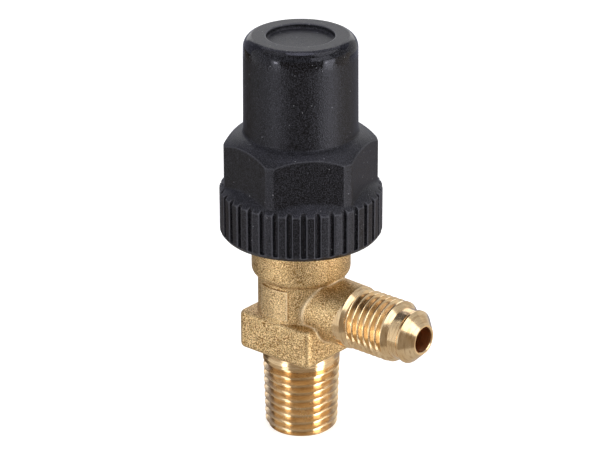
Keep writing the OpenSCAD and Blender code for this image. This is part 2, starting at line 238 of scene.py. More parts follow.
# %% Sizes of the forging
BLOCK_WIDTH = 16.2
BLOCK_LOW = 15.8
BLOCK_HIGH = 23.2
BLOCK_CORNER = 1.2
BLOCK_EDGE = 0.9
BARREL_R = 7.8
BARREL_ROOT = 1.0
COLLAR_R = 8.9
COLLAR_LOW = 30.4
COLLAR_EDGE = 1.5
SHOULDER = 40.5
BRANCH_HEIGHT = 25.1
BRANCH_BASE_R = 6.1
BRANCH_END_R = 5.75
BRANCH_END = 13.3
RING_R = 4.95
RING_START = 14.1
# Solids that are joined run this far into each other.
SPARE = 0.5

collar_arc_in = COLLAR_EDGE - COLLAR_R + BARREL_R
collar_arc_z = COLLAR_LOW + math.sqrt(COLLAR_EDGE**2 - collar_arc_in**2)
print("The collar's round edge ends at", round(collar_arc_z, 2), "mm")


# %% The square block
LEVEL = 0.01
RIM_FOLD = 1.0
CORNER_STEPS = 8
EDGE_STEPS = 6


def rise(edge):
    return abs(edge.verts[0].co.z - edge.verts[1].co.z)


def rounded_block(name, width, low, high, corner, edge):
    """A square block with round uprights and round rims."""
    shape = bmesh.new()
    bmesh.ops.create_cube(shape, size=1)
    for point in shape.verts:
        tall = low + (point.co.z + 0.5) * (high - low)
        point.co = (point.co.x * width, point.co.y * width, tall)
    round_off = {"profile": 0.5, "affect": "EDGES"}
    uprights = [side for side in shape.edges if rise(side) > LEVEL]
    bmesh.ops.bevel(shape, geom=uprights, offset=corner, segments=CORNER_STEPS, **round_off)
    level_edges = [side for side in shape.edges if rise(side) < LEVEL]
    rims = [side for side in level_edges if side.calc_face_angle() > RIM_FOLD]
    bmesh.ops.bevel(shape, geom=rims, offset=edge, segments=EDGE_STEPS, **round_off)
    mesh = bpy.data.meshes.new(name)
    shape.to_mesh(mesh)
    shape.free()
    return placed(name, mesh)


block = rounded_block("block", BLOCK_WIDTH, BLOCK_LOW, BLOCK_HIGH, BLOCK_CORNER, BLOCK_EDGE)
print("Square block:", len(block.data.polygons), "faces")

# %% The forging's rough solids
ARC_STEPS = 8


def along_branch(piece):
    """Lays a piece drawn about Z along the branch, which runs along X."""
    lift = Matrix.Translation((0, 0, BRANCH_HEIGHT))
    piece.data.transform(lift @ Matrix.Rotation(math.pi / 2, 4, "Y"))
    return piece


def branch_skin(reach):
    """The branch's radius that far from the valve's axis."""
    return BRANCH_BASE_R + (BRANCH_END_R - BRANCH_BASE_R) * reach / BRANCH_END


barrel_outline = [(0, BLOCK_LOW + BARREL_ROOT), (BARREL_R, BLOCK_LOW + BARREL_ROOT)]
arc_start = -math.acos(collar_arc_in / COLLAR_EDGE)
for step in range(ARC_STEPS + 1):
    angle = arc_start * (1 - step / ARC_STEPS)
    radius = COLLAR_R - COLLAR_EDGE + COLLAR_EDGE * math.cos(angle)
    barrel_outline.append((radius, collar_arc_z + COLLAR_EDGE * math.sin(angle)))
barrel_outline += [(COLLAR_R, SHOULDER + SPARE), (0, SHOULDER + SPARE)]
body = lathe("valve_body_forging", barrel_outline)
combine(body, block, "UNION")
branch_far = RING_START + SPARE
branch_outline = [
    (0, 0),
    (BRANCH_BASE_R, 0),
    (branch_skin(branch_far), branch_far),
    (0, branch_far),
]
combine(body, along_branch(lathe("branch", branch_outline)), "UNION")
print("Forging before its fillets:", len(body.data.polygons), "faces")

# %% How far a point is from the meeting line
# The meeting line lies farther out along X than this.
JUNCTION_FROM = 3.0


def off_branch(place):
    """Distance from the branch's skin."""
    return math.hypot(place.y, place.z - BRANCH_HEIGHT) - branch_skin(place.x)


def off_trunk(place):
    """Distance from the skin of the barrel, collar and square together."""
    skin = COLLAR_R if place.z > COLLAR_LOW else BARREL_R
    half = BLOCK_WIDTH / 2
    middle = (BLOCK_LOW + BLOCK_HIGH) / 2
    tall = (BLOCK_HIGH - BLOCK_LOW) / 2
    off_square = max(abs(place.x) - half, abs(place.y) - half, abs(place.z - middle) - tall)
    return min(math.hypot(place.x, place.y) - skin, off_square)


def near_junction(piece):
    """Each point on the branch's side, with its distance from where branch and trunk meet."""
    for vertex in piece.data.vertices:
        if vertex.co.x > JUNCTION_FROM:
            off = max(abs(off_branch(vertex.co)), abs(off_trunk(vertex.co)))
            yield vertex.index, off


# %% Voxels and fillets
FORGING_VOXEL = 0.15
FORGING_ROUNDS = 2
FILLET_REACH = 0.9
FILLET_CORE = 0.5
FILLET_ROUNDS = 20

rebuild(body, FORGING_VOXEL)
settle(body)
junction = body.vertex_groups.new(name="junction")
marked = 0
for index, off in near_junction(body):
    weight = 1 - ramp(off, FILLET_REACH * FILLET_CORE, FILLET_REACH)
    if weight > 0:
        junction.add([index], weight, "REPLACE")
        marked += 1
soften(body, FILLET_ROUNDS, "junction")
soften(body, FORGING_ROUNDS)
settle(body)
body.vertex_groups.clear()
print("Forging:", len(body.data.polygons), "faces,", marked, "points in the fillets")

# %% [markdown]
# ### The raised pad
#
# A low pad stands on the front of the barrel. It follows the barrel's curve, so it is a bar bent
# round it: one upright section, with a slight draft, repeated across its width.

# %% The raised pad
PAD_WIDTH = 6.2
PAD_HEIGHT = 5.8
PAD_RISE = 0.3
PAD_STEPS = 24
PAD_SKIN = 1.0
PAD_DRAFT = 0.1
PAD_RIM = 0.2

pad_middle = (BLOCK_HIGH + COLLAR_LOW) / 2
pad_section = []
for level in (-1, 1):
    upright = [
        (BARREL_R - PAD_SKIN, level * PAD_HEIGHT / 2, 0),
        (BARREL_R + PAD_RISE, level * (PAD_HEIGHT / 2 - PAD_DRAFT), PAD_DRAFT),
        (BARREL_R + PAD_RISE, level * (PAD_HEIGHT / 2 - PAD_DRAFT - PAD_RIM), PAD_DRAFT),
    ]
    pad_section += upright[::-level]
pad_points = []
for step in range(PAD_STEPS + 1):
    for depth, height, draft in pad_section:
        across = (PAD_WIDTH - 2 * draft) * (step / PAD_STEPS - 0.5)
        pad_points.append((across, -math.sqrt(depth**2 - across**2), pad_middle + height))
combine(body, bar("pad", pad_points, len(pad_section)), "UNION")
print("Pad:", PAD_WIDTH, "by", PAD_HEIGHT, "mm")

# %% [markdown]
# ## Turned ends
#
# The inlet, the outlet and the top are turned on the forging, so their edges are crisp. Each end is
# a turned blank, and its thread is cut as a single-point tool cuts it: a V that follows a helix,
# and lifts out of the metal where the tool draws back. A modelled thread catches the light on each
# crest and shows on the outline, which a bump map can't do.

# %% Facing the forging
# Cutting tools reach this far past what they cut.
FAR = 3.0

face_slope = (RING_START - BRANCH_END) / (BRANCH_END_R - RING_R)
face_branch = [
    (0, RING_START),
    (RING_R, RING_START),
    (BRANCH_END_R + FAR, BRANCH_END - face_slope * FAR),
    (BRANCH_END_R + FAR, RING_START + FAR),
    (0, RING_START + FAR),
]
combine(body, along_branch(lathe("facing_branch", face_branch)), "DIFFERENCE")
face_top = [
    (0, SHOULDER),
    (COLLAR_R + FAR, SHOULDER),
    (COLLAR_R + FAR, SHOULDER + FAR),
    (0, SHOULDER + FAR),
]
combine(body, lathe("facing_top", face_top), "DIFFERENCE")
print("Faced forging:", len(body.data.polygons), "faces")

# %% A thread-cutting tool
CREST_FLAT = 0.14
CLEAR = 0.3
DRAW_BACK = 0.1
FLANK = math.tan(math.radians(30))


def thread_cutter(name, pitch, depth, low, high, crest, run_out=0.0, start=0.0):
    """The 60 degree V that a tool sweeps. crest(height) is the blank's radius there."""
    mouth = (pitch - CREST_FLAT) / 2
    root = mouth - depth * FLANK

    def section(height):
        lift = ramp(height, high - run_out, high) if run_out else 0.0
        outer = crest(height) + lift * (depth + DRAW_BACK)
        return [
            (-root, outer - depth),
            (root, outer - depth),
            (mouth, outer),
            (mouth, outer + CLEAR),
            (-mouth, outer + CLEAR),
            (-mouth, outer),
        ]

    return helix_bar(name, pitch, low, high, section, start)


# %% Inlet with its taper pipe thread
INLET_R = 6.57
INLET_TAPER = 0.0625
INLET_CHAMFER = 0.6
INLET_THREAD = 14.3
THREAD_STEP = 0.1
NECK_R = 6.9
NECK_FILLET = 0.35
NECK_ARC = 0.3
PIPE_PITCH = 1.53
PIPE_DEPTH = 0.92
PIPE_START = math.radians(126)
PIPE_STOP = 0.5
PIPE_RUN_OUT = 0.6 * PIPE_PITCH


def inlet_crest(height):
    return INLET_R + height * INLET_TAPER / 2


inlet_outline = [
    (0, 0),
    (INLET_R - INLET_CHAMFER, 0),
    (inlet_crest(INLET_CHAMFER), INLET_CHAMFER),
    (inlet_crest(INLET_THREAD), INLET_THREAD - THREAD_STEP),
    (NECK_R, INLET_THREAD + THREAD_STEP),
    (NECK_R, BLOCK_LOW - NECK_FILLET),
    (NECK_R + NECK_FILLET * NECK_ARC, BLOCK_LOW - NECK_FILLET * NECK_ARC),
    (NECK_R + NECK_FILLET, BLOCK_LOW),
    (NECK_R + NECK_FILLET, BLOCK_LOW + SPARE),
    (0, BLOCK_LOW + SPARE),
]
inlet = lathe("inlet", inlet_outline)
pipe_groove = thread_cutter(
    "pipe_groove",
    PIPE_PITCH,
    PIPE_DEPTH,
    -PIPE_PITCH,
    INLET_THREAD - PIPE_STOP,
    inlet_crest,
    PIPE_RUN_OUT,
    PIPE_START,
)
combine(inlet, pipe_groove, "DIFFERENCE")
print("Inlet:", len(inlet.data.polygons), "faces")
combine(body, inlet, "UNION")

# %% Outlet with its flare thread and cone
RING_END = 14.3
FLARE_R = 5.556
FLARE_END = 22.4
LEAD_R = 4.85
LEAD_END = 23.1
GROOVE_R = 4.65
GROOVE_END = 25.3
RIM_R = 4.8
RIM_END = 25.7
RIM_EDGE = 0.05
TIP_R = 2.7
TIP = 27.8
TIP_EDGE = 0.12
FACE_LEAN = 0.15
CREST_EDGE = 0.1
FLARE_PITCH = 1.295
FLARE_DEPTH = 0.75
FLARE_START = math.radians(-33)
FLARE_RUN_OUT = 0.3 * FLARE_PITCH

outlet_outline = [
    (0, RING_START - SPARE),
    (RING_R, RING_START - SPARE),
    (RING_R, RING_END - FACE_LEAN),
    (FLARE_R - CREST_EDGE, RING_END + FACE_LEAN),
    (FLARE_R, RING_END + FACE_LEAN + CREST_EDGE),
    (FLARE_R, FLARE_END),
    (LEAD_R, LEAD_END),
    (GROOVE_R, LEAD_END + FACE_LEAN),
    (GROOVE_R, GROOVE_END - FACE_LEAN),
    (RIM_R - RIM_EDGE, GROOVE_END),
    (RIM_R, GROOVE_END + CREST_EDGE),
    (RIM_R, RIM_END),
    (TIP_R + TIP_EDGE, TIP - TIP_EDGE),
    (TIP_R, TIP),
    (0, TIP),
]
outlet = lathe("outlet", outlet_outline)
flare_groove = thread_cutter(
    "flare_groove",
    FLARE_PITCH,
    FLARE_DEPTH,
    RING_START - SPARE,
    FLARE_END,
    lambda height: FLARE_R,
    FLARE_RUN_OUT,
    FLARE_START,
)
combine(outlet, flare_groove, "DIFFERENCE")
print("Outlet:", len(outlet.data.polygons), "faces")
combine(body, along_branch(outlet), "UNION")

# %% Top with the cap's thread
CAP_THREAD_R = 8.85
RELIEF_DEPTH = 0.9
RELIEF_END = 41.7
RIM_CHAMFER = 0.8
BODY_TOP = 50.0
CAP_PITCH = 1.5
CAP_THREAD_DEPTH = 0.9

top_outline = [
    (0, SHOULDER - SPARE),
    (CAP_THREAD_R - RELIEF_DEPTH, SHOULDER - SPARE),
    (CAP_THREAD_R - RELIEF_DEPTH, RELIEF_END),
    (CAP_THREAD_R, RELIEF_END + RELIEF_DEPTH),
    (CAP_THREAD_R, BODY_TOP - RIM_CHAMFER),
    (CAP_THREAD_R - RIM_CHAMFER, BODY_TOP),
    (0, BODY_TOP),
]
top = lathe("top", top_outline)
cap_groove = thread_cutter(
    "cap_groove",
    CAP_PITCH,
    CAP_THREAD_DEPTH,
    RELIEF_END,
    BODY_TOP + CAP_PITCH,
    lambda height: CAP_THREAD_R,
)
combine(top, cap_groove, "DIFFERENCE")
print("Top:", len(top.data.polygons), "faces")
combine(body, top, "UNION")

# %% [markdown]
# ## Bores
#
# The flow goes in from below, past the seat, and out through the branch. The bores are drilled
# last, as in the real part, so that they run clean through everything that was joined before.

# %% Drilling the body
INLET_BORE_R = 3.5
INLET_BORE_END = 17.6
ORIFICE_R = 2.6
SEAT_FLOOR = 20.0
SEAT_LIP = 20.8
SEAT_LAND = 0.4
CHAMBER_R = 4.8
CHAMBER_TOP = 28.5
SPINDLE_BORE_R = 5.04
PACKING_FLOOR = 39.5
PACKING_R = 5.6
GLAND_THREAD_LOW = 45.5
GLAND_THREAD_R = 6.04
OUTLET_BORE_R = 2.3
MOUTH_EDGE = 0.15

bore_outline = [
    (0, -FAR),
    (INLET_BORE_R + MOUTH_EDGE + FAR, -FAR),
    (INLET_BORE_R + MOUTH_EDGE, 0),
    (INLET_BORE_R, MOUTH_EDGE),
    (INLET_BORE_R, INLET_BORE_END),
    (ORIFICE_R, INLET_BORE_END + INLET_BORE_R - ORIFICE_R),
    (ORIFICE_R, SEAT_LIP),
    (ORIFICE_R + SEAT_LAND, SEAT_LIP),
    (ORIFICE_R + SEAT_LAND + (SEAT_LIP - SEAT_FLOOR) / 2, SEAT_FLOOR),
    (CHAMBER_R, SEAT_FLOOR),
    (CHAMBER_R, CHAMBER_TOP),
    (SPINDLE_BORE_R, CHAMBER_TOP),
    (SPINDLE_BORE_R, PACKING_FLOOR),
    (PACKING_R, PACKING_FLOOR),
    (PACKING_R, GLAND_THREAD_LOW),
    (GLAND_THREAD_R, GLAND_THREAD_LOW),
    (GLAND_THREAD_R, BODY_TOP + FAR),
    (0, BODY_TOP + FAR),
]
combine(body, lathe("bores", bore_outline), "DIFFERENCE")
outlet_bore = [
    (0, 0),
    (OUTLET_BORE_R, 0),
    (OUTLET_BORE_R, TIP - MOUTH_EDGE),
    (OUTLET_BORE_R + MOUTH_EDGE, TIP),
    (OUTLET_BORE_R + MOUTH_EDGE, TIP + FAR),
    (0, TIP + FAR),
]
combine(body, along_branch(lathe("outlet_bore", outlet_bore)), "DIFFERENCE")
print("Body:", len(body.data.polygons), "faces")

# %% [markdown]
# ## Cap
#
# The cap is moulded in one shot: knurled band, hexagon, domed shoulder and tower. Its solid has the
# right outline with knife-sharp edges, and a moulding has none. A bevel would trip over the knurl's
# ends, so a copy of the solid, with its hollow filled, is remeshed and smoothed, and the hollow and
# its thread are cut again afterwards.

# %% Soft edges for the cap
CAP_LOW = 38.34
SKIRT_R = 10.6
SKIRT_TOP = 43.04
CAP_BORE_R = 8.93
CAP_SEAT = 51.54
TOWER_BORE_R = 7.6
CEILING = 72.24
# The filling runs this far into the cap's walls.
FILL = 0.4
WELD = 0.0005
CAP_VOXEL = 0.15
CAP_ROUNDS = 5

cap = placed("cap_moulding", nodes["cap"].data.copy())
cap.data.transform(Matrix.Scale(1 / MM, 4))
plug_outline = [
    (0, CAP_LOW),
    (SKIRT_R + FILL, CAP_LOW),
    (SKIRT_R + FILL, SKIRT_TOP + FILL),
    (CAP_BORE_R + FILL, SKIRT_TOP + FILL),
    (CAP_BORE_R + FILL, CAP_SEAT + FILL),
    (TOWER_BORE_R + FILL, CAP_SEAT + FILL),
    (TOWER_BORE_R + FILL, CEILING + FILL),
    (0, CEILING + FILL),
]
plug = lathe("cap_filling", plug_outline)
shape = bmesh.new()
shape.from_mesh(cap.data)
shape.from_mesh(plug.data)
bmesh.ops.remove_doubles(shape, verts=shape.verts, dist=WELD)
shape.to_mesh(cap.data)
shape.free()
bpy.data.objects.remove(plug)
rebuild(cap, CAP_VOXEL)
soften(cap, CAP_ROUNDS)
settle(cap)
print("Cap before its hollow:", len(cap.data.polygons), "faces")

# %% The cap's hollow and its thread
HOLLOW_EDGE = 0.5
CAP_RIDGE = 0.78
RIDGE_CREST = 0.08
RIDGE_BASE = 0.45
RIDGE_SINK = 0.05
RIDGE_FOOT = 0.06
RIDGE_LOW = 44.2
RIDGE_HIGH = 49.2

hollow_outline = [
    (0, CAP_LOW - FAR),
    (SKIRT_R, CAP_LOW - FAR),
    (SKIRT_R, SKIRT_TOP),
    (CAP_BORE_R, SKIRT_TOP + HOLLOW_EDGE),
    (CAP_BORE_R, CAP_SEAT),
    (TOWER_BORE_R, CAP_SEAT),
    (TOWER_BORE_R, CEILING - HOLLOW_EDGE),
    (TOWER_BORE_R - HOLLOW_EDGE, CEILING),
    (0, CEILING),
]


def ridge_section(height):
    """The moulded thread's ridge, which grows out of the wall and dies away in it."""
    height_share = ramp(height, RIDGE_LOW, RIDGE_LOW + CAP_PITCH / 2)
    height_share *= 1 - ramp(height, RIDGE_HIGH - CAP_PITCH / 2, RIDGE_HIGH)
    crest = CAP_BORE_R + RIDGE_SINK - (CAP_RIDGE + RIDGE_SINK) * height_share
    return [
        (-RIDGE_BASE, CAP_BORE_R + FILL),
        (RIDGE_BASE, CAP_BORE_R + FILL),
        (RIDGE_BASE, CAP_BORE_R + RIDGE_FOOT),
        (RIDGE_CREST, crest),
        (-RIDGE_CREST, crest),
        (-RIDGE_BASE, CAP_BORE_R + RIDGE_FOOT),
    ]


hollow = lathe("cap_hollow", hollow_outline)
cap_ridge = helix_bar("cap_ridge", CAP_PITCH, RIDGE_LOW, RIDGE_HIGH, ridge_section)
combine(hollow, cap_ridge, "DIFFERENCE")
combine(cap, hollow, "DIFFERENCE")
print("Cap:", len(cap.data.polygons), "faces")

# %% [markdown]
# ## Finishes
#
# Each finish starts from what the material is and how its surface was made. Colours are written as
# they look, in sRGB, and one function turns them to the linear values that the renderer works in.
# One more adds a node, with its settings and what feeds it, so a material reads from top to bottom.

# %% Colours and nodes
def linear(hex_colour):
    """The linear colour of an sRGB hex value."""
    values = []
    for start in (1, 3, 5):
        level = int(hex_colour[start : start + 2], 16) / 255
        values.append(level / 12.92 if level <= 0.04045 else ((level + 0.055) / 1.055) ** 2.4)
    return (*values, 1.0)


def add(tree, kind, links=(), values=(), stops=(), **settings):
    """Adds a node. links and values go by its sockets, and stops are (place, colour) on a ramp."""
    node = tree.nodes.new(kind)
    for name, setting in settings.items():
        setattr(node, name, setting)
    for socket, value in dict(values).items():
        node.inputs[socket].default_value = value
    for socket, source in dict(links).items():
        tree.links.new(source, node.inputs[socket])
    for _ in stops[2:]:
        node.color_ramp.elements.new(1.0)
    for number, (place, colour) in enumerate(stops):
        node.color_ramp.elements[number].position = place
        node.color_ramp.elements[number].color = linear(colour)
    return node


# %% A new finish
def finish_named(name, **same_all_over):
    """A new material, its node tree, its shader and the coordinates that its patterns follow."""
    material = bpy.data.materials.new(name)
    material.use_nodes = True
    tree = material.node_tree
    shader = tree.nodes["Principled BSDF"]
    for socket, value in same_all_over.items():
        shader.inputs[socket.replace("_", " ")].default_value = value
    place = add(tree, "ShaderNodeTexCoord").outputs["Object"]
    return material, tree, shader, place


def feed(tree, shader, colour, roughness, normal):
    """Links what a finish's patterns made to its shader."""
    tree.links.new(colour, shader.inputs["Base Color"])
    tree.links.new(roughness, shader.inputs["Roughness"])
    tree.links.new(normal, shader.inputs["Normal"])


def per_metre(size_mm):
    """The scale that gives a pattern one repeat in that many millimetres."""
    return 1 / (size_mm * MM)


# Nearly all of a noise's values lie between these two.
NOISE_LOW = 0.3
NOISE_HIGH = 0.7

# %% [markdown]
# ### Hot-forged brass, blasted
#
# The forging is blasted with fine shot to take the scale off. That leaves a grain of tiny dents,
# which spreads every reflection into a satin glow and sparkles a little. A real dent is about
# 0.1 mm across. It is drawn at 0.12 mm, so that it shows in the render. Corners are painted pale,
# partly as handling wear and partly as a painted highlight. The creases are painted a warm brown as
# painted shade. A painted highlight runs along the line where the branch meets the barrel.
# Pointiness would take that hollow for a crease, so its points are marked on the mesh further down.

# %% Hot-forged brass: its grain
DENT_DRAWN = 0.12
DENT_DEPTH = 0.05
PATCH_SIZE = 3.5
PATCH_SHARE = 0.1

forged, tree, shader, place = finish_named("brass_hot_forged_blasted", Metallic=1.0)
dents = add(
    tree,
    "ShaderNodeTexNoise",
    {"Vector": place},
    {"Scale": per_metre(DENT_DRAWN), "Detail": 0.0},
)
patches = add(
    tree,
    "ShaderNodeTexNoise",
    {"Vector": place},
    {"Scale": per_metre(PATCH_SIZE), "Detail": 2.0},
)
tone = add(
    tree,
    "ShaderNodeMath",
    {0: patches.outputs["Fac"], 2: dents.outputs["Fac"]},
    {1: PATCH_SHARE},
    operation="MULTIPLY_ADD",
)
colour = add(
    tree,
    "ShaderNodeValToRGB",
    {"Fac": tone.outputs[0]},
    stops=((0.43, "#66421C"), (0.54, "#C09452"), (0.64, "#FFE7B8")),
)
rough = add(
    tree,
    "ShaderNodeMapRange",
    {"Value": dents.outputs["Fac"]},
    {"From Min": NOISE_LOW, "From Max": NOISE_HIGH, "To Min": 0.4, "To Max": 0.54},
)
bump = add(
    tree,
    "ShaderNodeBump",
    {"Height": dents.outputs["Fac"]},
    {"Strength": 0.9, "Distance": DENT_DEPTH * MM},
)
print("Dents drawn at", DENT_DRAWN, "mm")

# %% Hot-forged brass: painted shade in creases, wear and painted highlights on corners
edges = add(tree, "ShaderNodeNewGeometry").outputs["Pointiness"]
# Painted shade: creases, found by low pointiness, are mixed towards a warm brown.
crease_shade_mask = add(
    tree,
    "ShaderNodeMapRange",
    {"Value": edges},
    {"From Min": 0.49, "From Max": 0.45, "To Min": 0.0, "To Max": 0.7},
)
# Convex corners are painted pale: partly handling wear, partly painted highlight.
rubbed_and_highlit = add(
    tree,
    "ShaderNodeMapRange",
    {"Value": edges},
    {"From Min": 0.515, "From Max": 0.56, "To Min": 0.0, "To Max": 0.5},
)
# A painted highlight along the branch's meeting line, read from a mark on the mesh.
painted_line_highlight = add(tree, "ShaderNodeAttribute", attribute_name="fillet_painted_highlight")
painted_highlight_and_wear = add(
    tree,
    "ShaderNodeMath",
    {0: painted_line_highlight.outputs["Fac"], 1: rubbed_and_highlit.outputs["Result"]},
    operation="MAXIMUM",
)
# The warm brown here is painted shade in the creases.
painted_crease_shade = add(
    tree,
    "ShaderNodeMix",
    {"Factor": crease_shade_mask.outputs["Result"], 6: colour.outputs["Color"]},
    {7: linear("#9A6630")},
    data_type="RGBA",
)
# The pale colour is the painted highlight on the meeting line and corners, with some wear on the
# corners.
wear_and_painted_light = add(
    tree,
    "ShaderNodeMix",
    {"Factor": painted_highlight_and_wear.outputs[0], 6: painted_crease_shade.outputs[2]},
    {7: linear("#F4E3C2")},
    data_type="RGBA",
)
feed(tree, shader, wear_and_painted_light.outputs[2], rough.outputs["Result"], bump.outputs["Normal"])
print("Finish:", forged.name)

# %% [markdown]
# ### Turned brass
#
# A lathe tool leaves a bright surface with fine rings round the axis, which stretch each reflection
# along it. The rings follow the axis of the piece: Z on the inlet and the top, X on the branch. The
# real feed is under 0.1 mm a turn. It is drawn as a slow wave of 1.38 mm, so that a trace of it
# shows in the render. A tool also tears the metal a little, in darker streaks that run round with
# the rings. They are drawn 0.28 mm wide. The drilled bore is the same metal, rougher and redder,
# because it mostly mirrors itself.

# %% Turned brass: its rings and streaks
RING_SPACING = 1.3823
RING_DEPTH = 0.02
# A wave texture of scale 1 repeats this often in a unit of length.
WAVE_REPEATS = 20 / math.tau
STAIN_SIZE = 2.5
STREAK_WIDTH = 0.28
STREAK_AXES = {"Z": (0.12, 0.12, 1), "X": (1, 0.12, 0.12)}


def rings_of(tree, place, axis):
    """The height that a lathe tool leaves, as a normal."""
    scale = per_metre(RING_SPACING) / WAVE_REPEATS
    rings = add(
        tree,
        "ShaderNodeTexWave",
        {"Vector": place},
        {"Scale": scale, "Distortion": 1.5, "Detail": 2.0, "Detail Scale": 3.0},
        bands_direction=axis,
    )
    bump = add(
        tree,
        "ShaderNodeBump",
        {"Height": rings.outputs["Fac"]},
        {"Strength": 0.25, "Distance": RING_DEPTH * MM},
    )
    return bump.outputs["Normal"]


def streaked(tree, place, axis, colour):
    """The colour with the darker streaks of torn metal."""
    drawn_out = add(
        tree, "ShaderNodeVectorMath", {0: place}, {1: STREAK_AXES[axis]}, operation="MULTIPLY"
    )
    streaks = add(
        tree,
        "ShaderNodeTexNoise",
        {"Vector": drawn_out.outputs[0]},
        {"Scale": per_metre(STREAK_WIDTH), "Detail": 1.0},
    )
    torn = add(
        tree,
        "ShaderNodeMapRange",
        {"Value": streaks.outputs["Fac"]},
        {"From Min": 0.5, "From Max": 0.68, "To Min": 0.0, "To Max": 0.35},
    )
    mixed = add(
        tree,
        "ShaderNodeMix",
        {"Factor": torn.outputs["Result"], 6: colour},
        {7: linear("#A67C48")},
        data_type="RGBA",
    )
    return mixed.outputs[2]


# %% Turned brass
LATHE_AXES = {"Z": ((0, 0, 1), (0, 0, 0)), "X": ((1, 0, 0), (0, 0, BRANCH_HEIGHT * MM))}
ALONG_AXIS = 0.25


def turned_brass(name, axis, dull, clean, smooth, matte, stretch):
    """Turned brass whose rings follow that axis, from its dull to its clean places."""
    material, tree, shader, place = finish_named(
        name, Metallic=1.0, Anisotropic=stretch, Anisotropic_Rotation=ALONG_AXIS
    )
    spin, centre = LATHE_AXES[axis]
    arm = add(tree, "ShaderNodeVectorMath", {0: place}, {1: centre}, operation="SUBTRACT")
    round_axis = add(
        tree, "ShaderNodeVectorMath", {1: arm.outputs[0]}, {0: spin}, operation="CROSS_PRODUCT"
    )
    tree.links.new(round_axis.outputs[0], shader.inputs["Tangent"])
    stains = add(
        tree,
        "ShaderNodeTexNoise",
        {"Vector": place},
        {"Scale": per_metre(STAIN_SIZE), "Detail": 3.0},
    )
    colour = add(
        tree,
        "ShaderNodeValToRGB",
        {"Fac": stains.outputs["Fac"]},
        stops=((0.35, dull), (0.7, clean)),
    )
    rough = add(
        tree,
        "ShaderNodeMapRange",
        {"Value": stains.outputs["Fac"]},
        {"From Min": NOISE_LOW, "From Max": NOISE_HIGH, "To Min": smooth, "To Max": matte},
    )
    skin = streaked(tree, place, axis, colour.outputs["Color"])
    feed(tree, shader, skin, rough.outputs["Result"], rings_of(tree, place, axis))
    print("Finish:", name)
    return material


DULL = "#EACA9C"
CLEAN = "#F4DAB2"
turned_upright = turned_brass(
    "brass_turned_upright", "Z", DULL, CLEAN, smooth=0.22, matte=0.28, stretch=0.8
)
turned_sideways = turned_brass(
    "brass_turned_sideways", "X", DULL, CLEAN, smooth=0.15, matte=0.22, stretch=0.3
)
drilled = turned_brass(
    "brass_drilled", "X", "#DCA678", "#F0C69A", smooth=0.3, matte=0.45, stretch=0.3
)

# %% [markdown]
# ### Glass-filled nylon, moulded
#
# The cap's black nylon is filled with glass fibre. Its skin is a satin with a very fine grain, and
# here and there a fibre or a scuff catches the light as a pale fleck. The grain is drawn at
# 0.16 mm, so that it shows in the render. Edges are rubbed pale, and hands have polished the round
# rim of the tower, which turns its reflections into glints.

# %% Glass-filled nylon: its grain and flecks
GRAIN_DRAWN = 0.16
GRAIN_DEPTH = 0.05
FLECK_SPACING = 1.6

# The glass near the skin breaks up its mirror, so it reflects about half of what clear nylon would.
nylon, tree, shader, place = finish_named(
    "nylon_glass_filled_moulded",
    IOR=1.53,
    Specular_IOR_Level=0.26,
    Specular_Tint=linear("#EAEAFA"),
)
grain = add(
    tree,
    "ShaderNodeTexNoise",
    {"Vector": place},
    {"Scale": per_metre(GRAIN_DRAWN), "Detail": 0.0},
)
flecks = add(
    tree, "ShaderNodeTexVoronoi", {"Vector": place}, {"Scale": per_metre(FLECK_SPACING)}
)
speck = add(
    tree,
    "ShaderNodeMapRange",
    {"Value": flecks.outputs["Distance"]},
    {"From Min": 0.05, "From Max": 0.09, "To Min": 1.0, "To Max": 0.0},
)
skin = add(
    tree,
    "ShaderNodeValToRGB",
    {"Fac": grain.outputs["Fac"]},
    stops=((0.46, "#020202"), (0.66, "#34343A")),
)
flecked = add(
    tree,
    "ShaderNodeMix",
    {"Factor": speck.outputs["Result"], 6: skin.outputs["Color"]},
    {7: linear("#77777C")},
    data_type="RGBA",
)
print("Grain drawn at", GRAIN_DRAWN, "mm")

# %% Glass-filled nylon: rubbed edges and the handled rim
HANDLED_LOW = 71.6
HANDLED_HIGH = 73.0
HANDLED_INNER = 8.4
HANDLED_OUTER = 8.8

edges = add(tree, "ShaderNodeAttribute", attribute_name="edge_wear")
rubbed_and_highlit = add(
    tree,
    "ShaderNodeMapRange",
    {"Value": edges.outputs["Fac"]},
    {"From Min": 0.03, "From Max": 0.12, "To Min": 0.0, "To Max": 0.45},
)
wear_and_painted_light = add(
    tree,
    "ShaderNodeMix",
    {"Factor": rubbed_and_highlit.outputs["Result"], 6: flecked.outputs[2]},
    {7: linear("#72727A")},
    data_type="RGBA",
)
level = add(tree, "ShaderNodeSeparateXYZ", {0: place})
high = add(
    tree,
    "ShaderNodeMapRange",
    {"Value": level.outputs["Z"]},
    {"From Min": HANDLED_LOW * MM, "From Max": HANDLED_HIGH * MM},
)
across = add(tree, "ShaderNodeVectorMath", {0: place}, {1: (1, 1, 0)}, operation="MULTIPLY")
reach = add(tree, "ShaderNodeVectorMath", {0: across.outputs[0]}, operation="LENGTH")
outside = add(
    tree,
    "ShaderNodeMapRange",
    {"Value": reach.outputs["Value"]},
    {"From Min": HANDLED_INNER * MM, "From Max": HANDLED_OUTER * MM},
)
handled = add(
    tree,
    "ShaderNodeMath",
    {0: high.outputs["Result"], 1: outside.outputs["Result"]},
    operation="MULTIPLY",
)
print("Handled rim from", HANDLED_LOW, "mm up")

